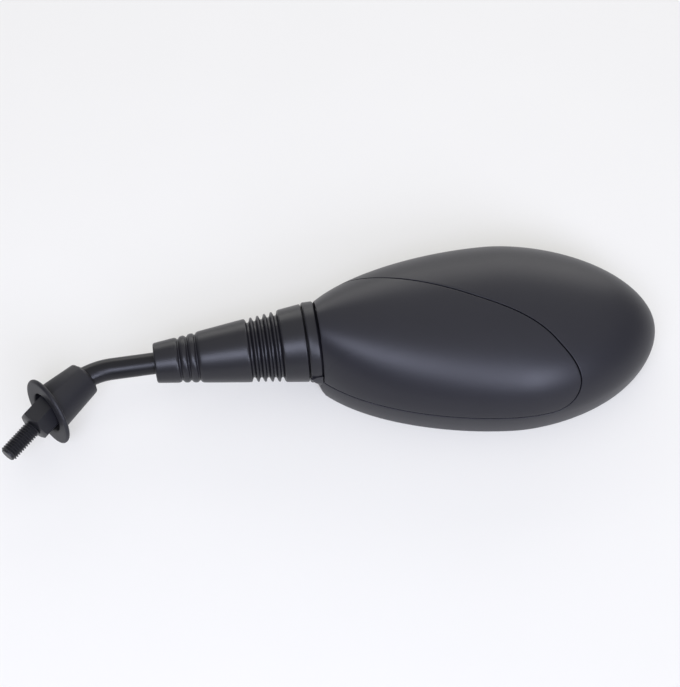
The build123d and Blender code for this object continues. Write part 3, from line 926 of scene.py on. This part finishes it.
class Finish:
    """One material: a principled shader with its fixed values, and the nodes that feed it."""

    def __init__(self, name, **values):
        self.material = bpy.data.materials.new(name)
        self.material.use_nodes = True
        self.tree = self.material.node_tree
        self.shader = self.tree.nodes["Principled BSDF"]
        for socket, value in values.items():
            self.shader.inputs[socket.replace("_", " ")].default_value = value
        self.place = self.node("ShaderNodeTexCoord", output="Object")

    def node(self, kind, settings=(), inputs=(), output=0):
        made = self.tree.nodes.new(kind)
        for name, value in dict(settings).items():
            setattr(made, name, value)
        for name, value in dict(inputs).items():
            if isinstance(value, Signal):
                self.tree.links.new(value.socket, made.inputs[name])
            else:
                made.inputs[name].default_value = value
        return Signal(self, made.outputs[output])

    def noise(self, size, detail=2.0, rough=0.5):
        """Soft cloud of a feature size in millimetres, about 0 to 1."""
        return self.node("ShaderNodeTexNoise", {}, {
            "Vector": self.place, "Scale": 1 / (size * MM), "Detail": detail, "Roughness": rough})

    def feed(self, socket, signal):
        self.tree.links.new(signal.socket, self.shader.inputs[socket])

    def bump(self, height, depth):
        """Relief of a depth in millimetres."""
        self.feed("Normal", self.node("ShaderNodeBump", {}, {
            "Height": height, "Distance": depth * MM, "Strength": 1.0}))

    def glow_when_seen(self, colour, share):
        """Part of the surface glows towards the camera and in reflections, and lights nothing else."""
        seen = [self.node("ShaderNodeLightPath", output=kind)
                for kind in ("Is Camera Ray", "Is Glossy Ray", "Is Transmission Ray")]
        glow = self.node("ShaderNodeEmission", {}, {"Color": colour, "Strength": 1.0})
        mixed = self.node("ShaderNodeMixShader", {}, {
            0: (seen[0] + seen[1] + seen[2]) * share, 1: Signal(self, self.shader.outputs[0]), 2: glow})
        self.tree.links.new(mixed.socket, self.tree.nodes["Material Output"].inputs["Surface"])

    def shades(self, signal, dark, light):
        """Base colour between two colours."""
        self.feed("Base Color", self.node("ShaderNodeMix", {"data_type": "RGBA"}, {
            0: signal, 6: (*dark, 1), 7: (*light, 1)}, 2))


def moulded(name, dark, light, roughness, grain_size, grain_depth, **values):
    """Moulded plastic or rubber: fine grain, slightly uneven shine."""
    finish = Finish(name, **values)
    cloud = finish.noise(moulding_cloud, detail=3.0)
    grain = finish.noise(grain_size, rough=0.6)
    finish.shades(cloud * 0.7 + grain * 0.3, dark, light)
    finish.feed("Roughness", roughness - 0.05 + cloud * 0.06 + grain * 0.04)
    finish.bump(grain, grain_depth)
    return finish.material


def metal(name, dark, light, roughness, streak_size, streak_depth, **values):
    """Machined or drawn metal with fine tool marks."""
    finish = Finish(name, **values)
    cloud = finish.noise(metal_cloud, detail=3.0)
    marks = finish.noise(streak_size, detail=4.0, rough=0.7)
    finish.shades(cloud * 0.5 + marks * 0.5, dark, light)
    finish.feed("Roughness", roughness - 0.08 + cloud * 0.08 + marks * 0.08)
    finish.bump(marks, streak_depth)
    return finish.material


def silvered():
    """Silvered glass with a trace of haze."""
    finish = Finish("silvered_glass", Metallic=1.0, Base_Color=(0.86, 0.88, 0.89, 1))
    haze = finish.noise(haze_cloud)
    finish.feed("Roughness", haze * 0.03 + 0.01)
    return finish.material


shell_dark, shell_light = (0.0135, 0.0132, 0.0175), (0.0165, 0.0161, 0.0212)
housing_black = moulded("housing_black", shell_dark, shell_light, 0.40, 0.30, 0.012, Specular_IOR_Level=0.36)
panel_black = moulded("panel_black", shell_dark, shell_light, 0.38, 0.34, 0.008, Specular_IOR_Level=0.36)
collar_black = moulded("collar_black", (0.009, 0.0088, 0.0118), (0.012, 0.0117, 0.0155), 0.38, 0.34, 0.008,
                       Specular_IOR_Level=0.4)
boot_black = moulded("boot_rubber", (0.008, 0.0078, 0.0104), (0.0115, 0.0112, 0.0148), 0.36, 0.40, 0.02,
                     Specular_IOR_Level=0.42)
cap_black = moulded("cap_rubber", (0.009, 0.0088, 0.0118), (0.013, 0.0127, 0.0168), 0.48, 0.40, 0.02,
                    Specular_IOR_Level=0.4)
rod_black = metal("rod_enamel", (0.005, 0.0049, 0.0065), (0.007, 0.0069, 0.009), 0.32, 0.8, 0.004,
                  Specular_IOR_Level=0.3)
stud_black = metal("stud_black_oxide", (0.006, 0.0059, 0.0076), (0.011, 0.0108, 0.014), 0.4, 0.5, 0.006,
                   Specular_IOR_Level=0.5)
steel = metal("ground_steel", (0.45, 0.45, 0.46), (0.58, 0.58, 0.59), 0.3, 0.5, 0.003, Metallic=1.0)
spring_steel = metal("drawn_spring_wire", (0.3, 0.3, 0.31), (0.42, 0.42, 0.43), 0.35, 0.4, 0.004, Metallic=1.0)
zinc = metal("zinc_plate", (0.5, 0.5, 0.49), (0.62, 0.61, 0.58), 0.38, 0.6, 0.004, Metallic=1.0)
alloy = metal("die_cast_alloy", (0.46, 0.46, 0.48), (0.56, 0.56, 0.58), 0.5, 0.7, 0.01, Metallic=1.0)
acetal = moulded("white_acetal", (0.66, 0.65, 0.61), (0.74, 0.73, 0.69), 0.4, 0.5, 0.006)
carrier_grey = moulded("carrier_plastic", (0.045, 0.045, 0.05), (0.06, 0.06, 0.065), 0.55, 0.5, 0.01)
foam_black = moulded("foam", (0.02, 0.02, 0.02), (0.045, 0.045, 0.045), 0.85, 0.6, 0.12)
mirror = silvered()


def dressed(piece, material):
    """Gives a piece one finish."""
    piece.data.materials.clear()
    piece.data.materials.append(material)


for piece, body, node, slot, material in (
        (housing, "head", "housing", "housing_black", housing_black),
        (panel, "head", "back_panel", "panel_black", panel_black),
        (glass, "head", "mirror_glass", "mirror_silver", mirror),
        (collar, "collar", "neck_collar", "collar_black", collar_black),
        (rod, "stem", "stem_rod", "rod_black", rod_black),
        (adapter, "base", "stud_adapter", "stud_black", stud_black)):
    dressed(piece, material)
    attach(piece, body)
    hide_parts(node)

cap_way = outward(cap_turn, 0.0)
bend_half = 8.2
for piece, body, node, material, start, end in (
        (boot, "collar", "boot", boot_black, (-bend_half, 0, 0), (bend_half, 0, 0)),
        (cap, "cap", "base_cap", cap_black, cap_mouth - cap_way * cap_grip, cap_mouth - cap_way * cap_free)):
    dressed(piece, material)
    to_frame(start)
    to_frame(end)
    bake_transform(piece)
    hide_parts(node)

for node, material in (
        ("lock_nut", zinc), ("pivot_ball", steel), ("joint_socket", alloy), ("pressure_cup", acetal),
        ("joint_spring", spring_steel), ("spring_plug", steel), ("socket_screws", zinc),
        ("collar_washer", acetal), ("collar_clip", spring_steel), ("foam_pad", foam_black),
        ("glass_carrier", carrier_grey), ("carrier_screws", zinc)):
    dressed(frame["nodes"][node], material)


# Floor, light and camera

table_size = 12000.0
table_gap = 0.2


def pale_floor():
    """Large pale table top that the head's rim rests on."""
    nothing_selected()
    bpy.ops.mesh.primitive_plane_add(size=table_size * MM, location=(0, 0, 0))
    floor = bpy.context.object
    floor.name = "table_top"
    floor.data.transform(Matrix.Translation(Vector((neck.x, neck.y, (rim_z - table_gap) * MM))))
    finish = Finish("pale_table", Roughness=0.7, Specular_IOR_Level=0.2)
    finish.shades(finish.noise(table_cloud, detail=4.0), (0.80, 0.785, 0.74), (0.83, 0.815, 0.77))
    finish.glow_when_seen((0.96, 0.96, 0.96, 1), 0.4)
    dressed(floor, finish.material)


def area_light(name, place, along, size, power, colour):
    """Soft box that looks at the neck, its long side along a direction."""
    lamp = bpy.data.lights.new(name, "AREA")
    lamp.shape = "RECTANGLE"
    lamp.size, lamp.size_y = size
    lamp.energy = power
    lamp.color = colour
    holder = bpy.data.objects.new(name, lamp)
    bpy.context.scene.collection.objects.link(holder)
    behind = Vector(place).normalized()
    side = behind.cross(Vector(along)).normalized()
    turned = Matrix((side.cross(behind), side, behind)).transposed().to_4x4()
    holder.matrix_world = Matrix.Translation(neck + Vector(place)) @ turned


def photo_camera():
    """Camera at the photograph's angle, for a frame of 680 by 687 pixels."""
    width_px, height_px, focal_px = 680, 687, 1500.0
    ball_px, ball_py, ball_depth = 264.82, 348.28, 0.6885
    elevation, turn = radians(60.0), radians(8.92)
    right = Vector((cos(turn), -sin(turn), 0))
    ahead = Vector((sin(turn), cos(turn), 0))
    view = ahead * cos(elevation) - Vector((0, 0, sin(elevation)))
    up = ahead * sin(elevation) + Vector((0, 0, cos(elevation)))
    to_ball = view + right * (ball_px - width_px / 2) / focal_px - up * (ball_py - height_px / 2) / focal_px
    lens = bpy.data.cameras.new("photo_camera")
    lens.sensor_width = 36.0
    lens.lens = focal_px * lens.sensor_width / height_px
    camera = bpy.data.objects.new("photo_camera", lens)
    bpy.context.scene.collection.objects.link(camera)
    turned = Matrix((right, up, -view)).transposed().to_4x4()
    camera.matrix_world = Matrix.Translation(neck - to_ball * ball_depth) @ turned
    bpy.context.scene.camera = camera


pale_floor()
cool = (0.74, 0.78, 1.0)
warm = (1.0, 0.99, 0.975)
along_neck = (1.0, 0.0, 0.0)
area_light("front_box", (0.02, -1.5, 1.4), (0.82, -0.3, -0.33), (1.87, 0.85), 22.0, cool)
area_light("left_box", (-0.17, -0.36, 0.5), along_neck, (0.22, 0.22), 1.0, cool)
area_light("right_box", (0.61, -1.5, 0.85), along_neck, (0.6, 0.6), 9.8, cool)
area_light("back_box", (0.45, 2.1, 0.75), along_neck, (3.3, 1.2), 25.0, warm)
area_light("overhead_box", (0.45, 0.2, 1.6), along_neck, (3.0, 2.4), 10.5, warm)
world = bpy.data.worlds.new("studio")
bpy.context.scene.world = world
world.use_nodes = True
background = world.node_tree.nodes["Background"].inputs
background["Color"].default_value = (0.98, 0.985, 1.0, 1)
background["Strength"].default_value = 0.36
photo_camera()
bpy.context.scene.view_settings.view_transform = "Standard"
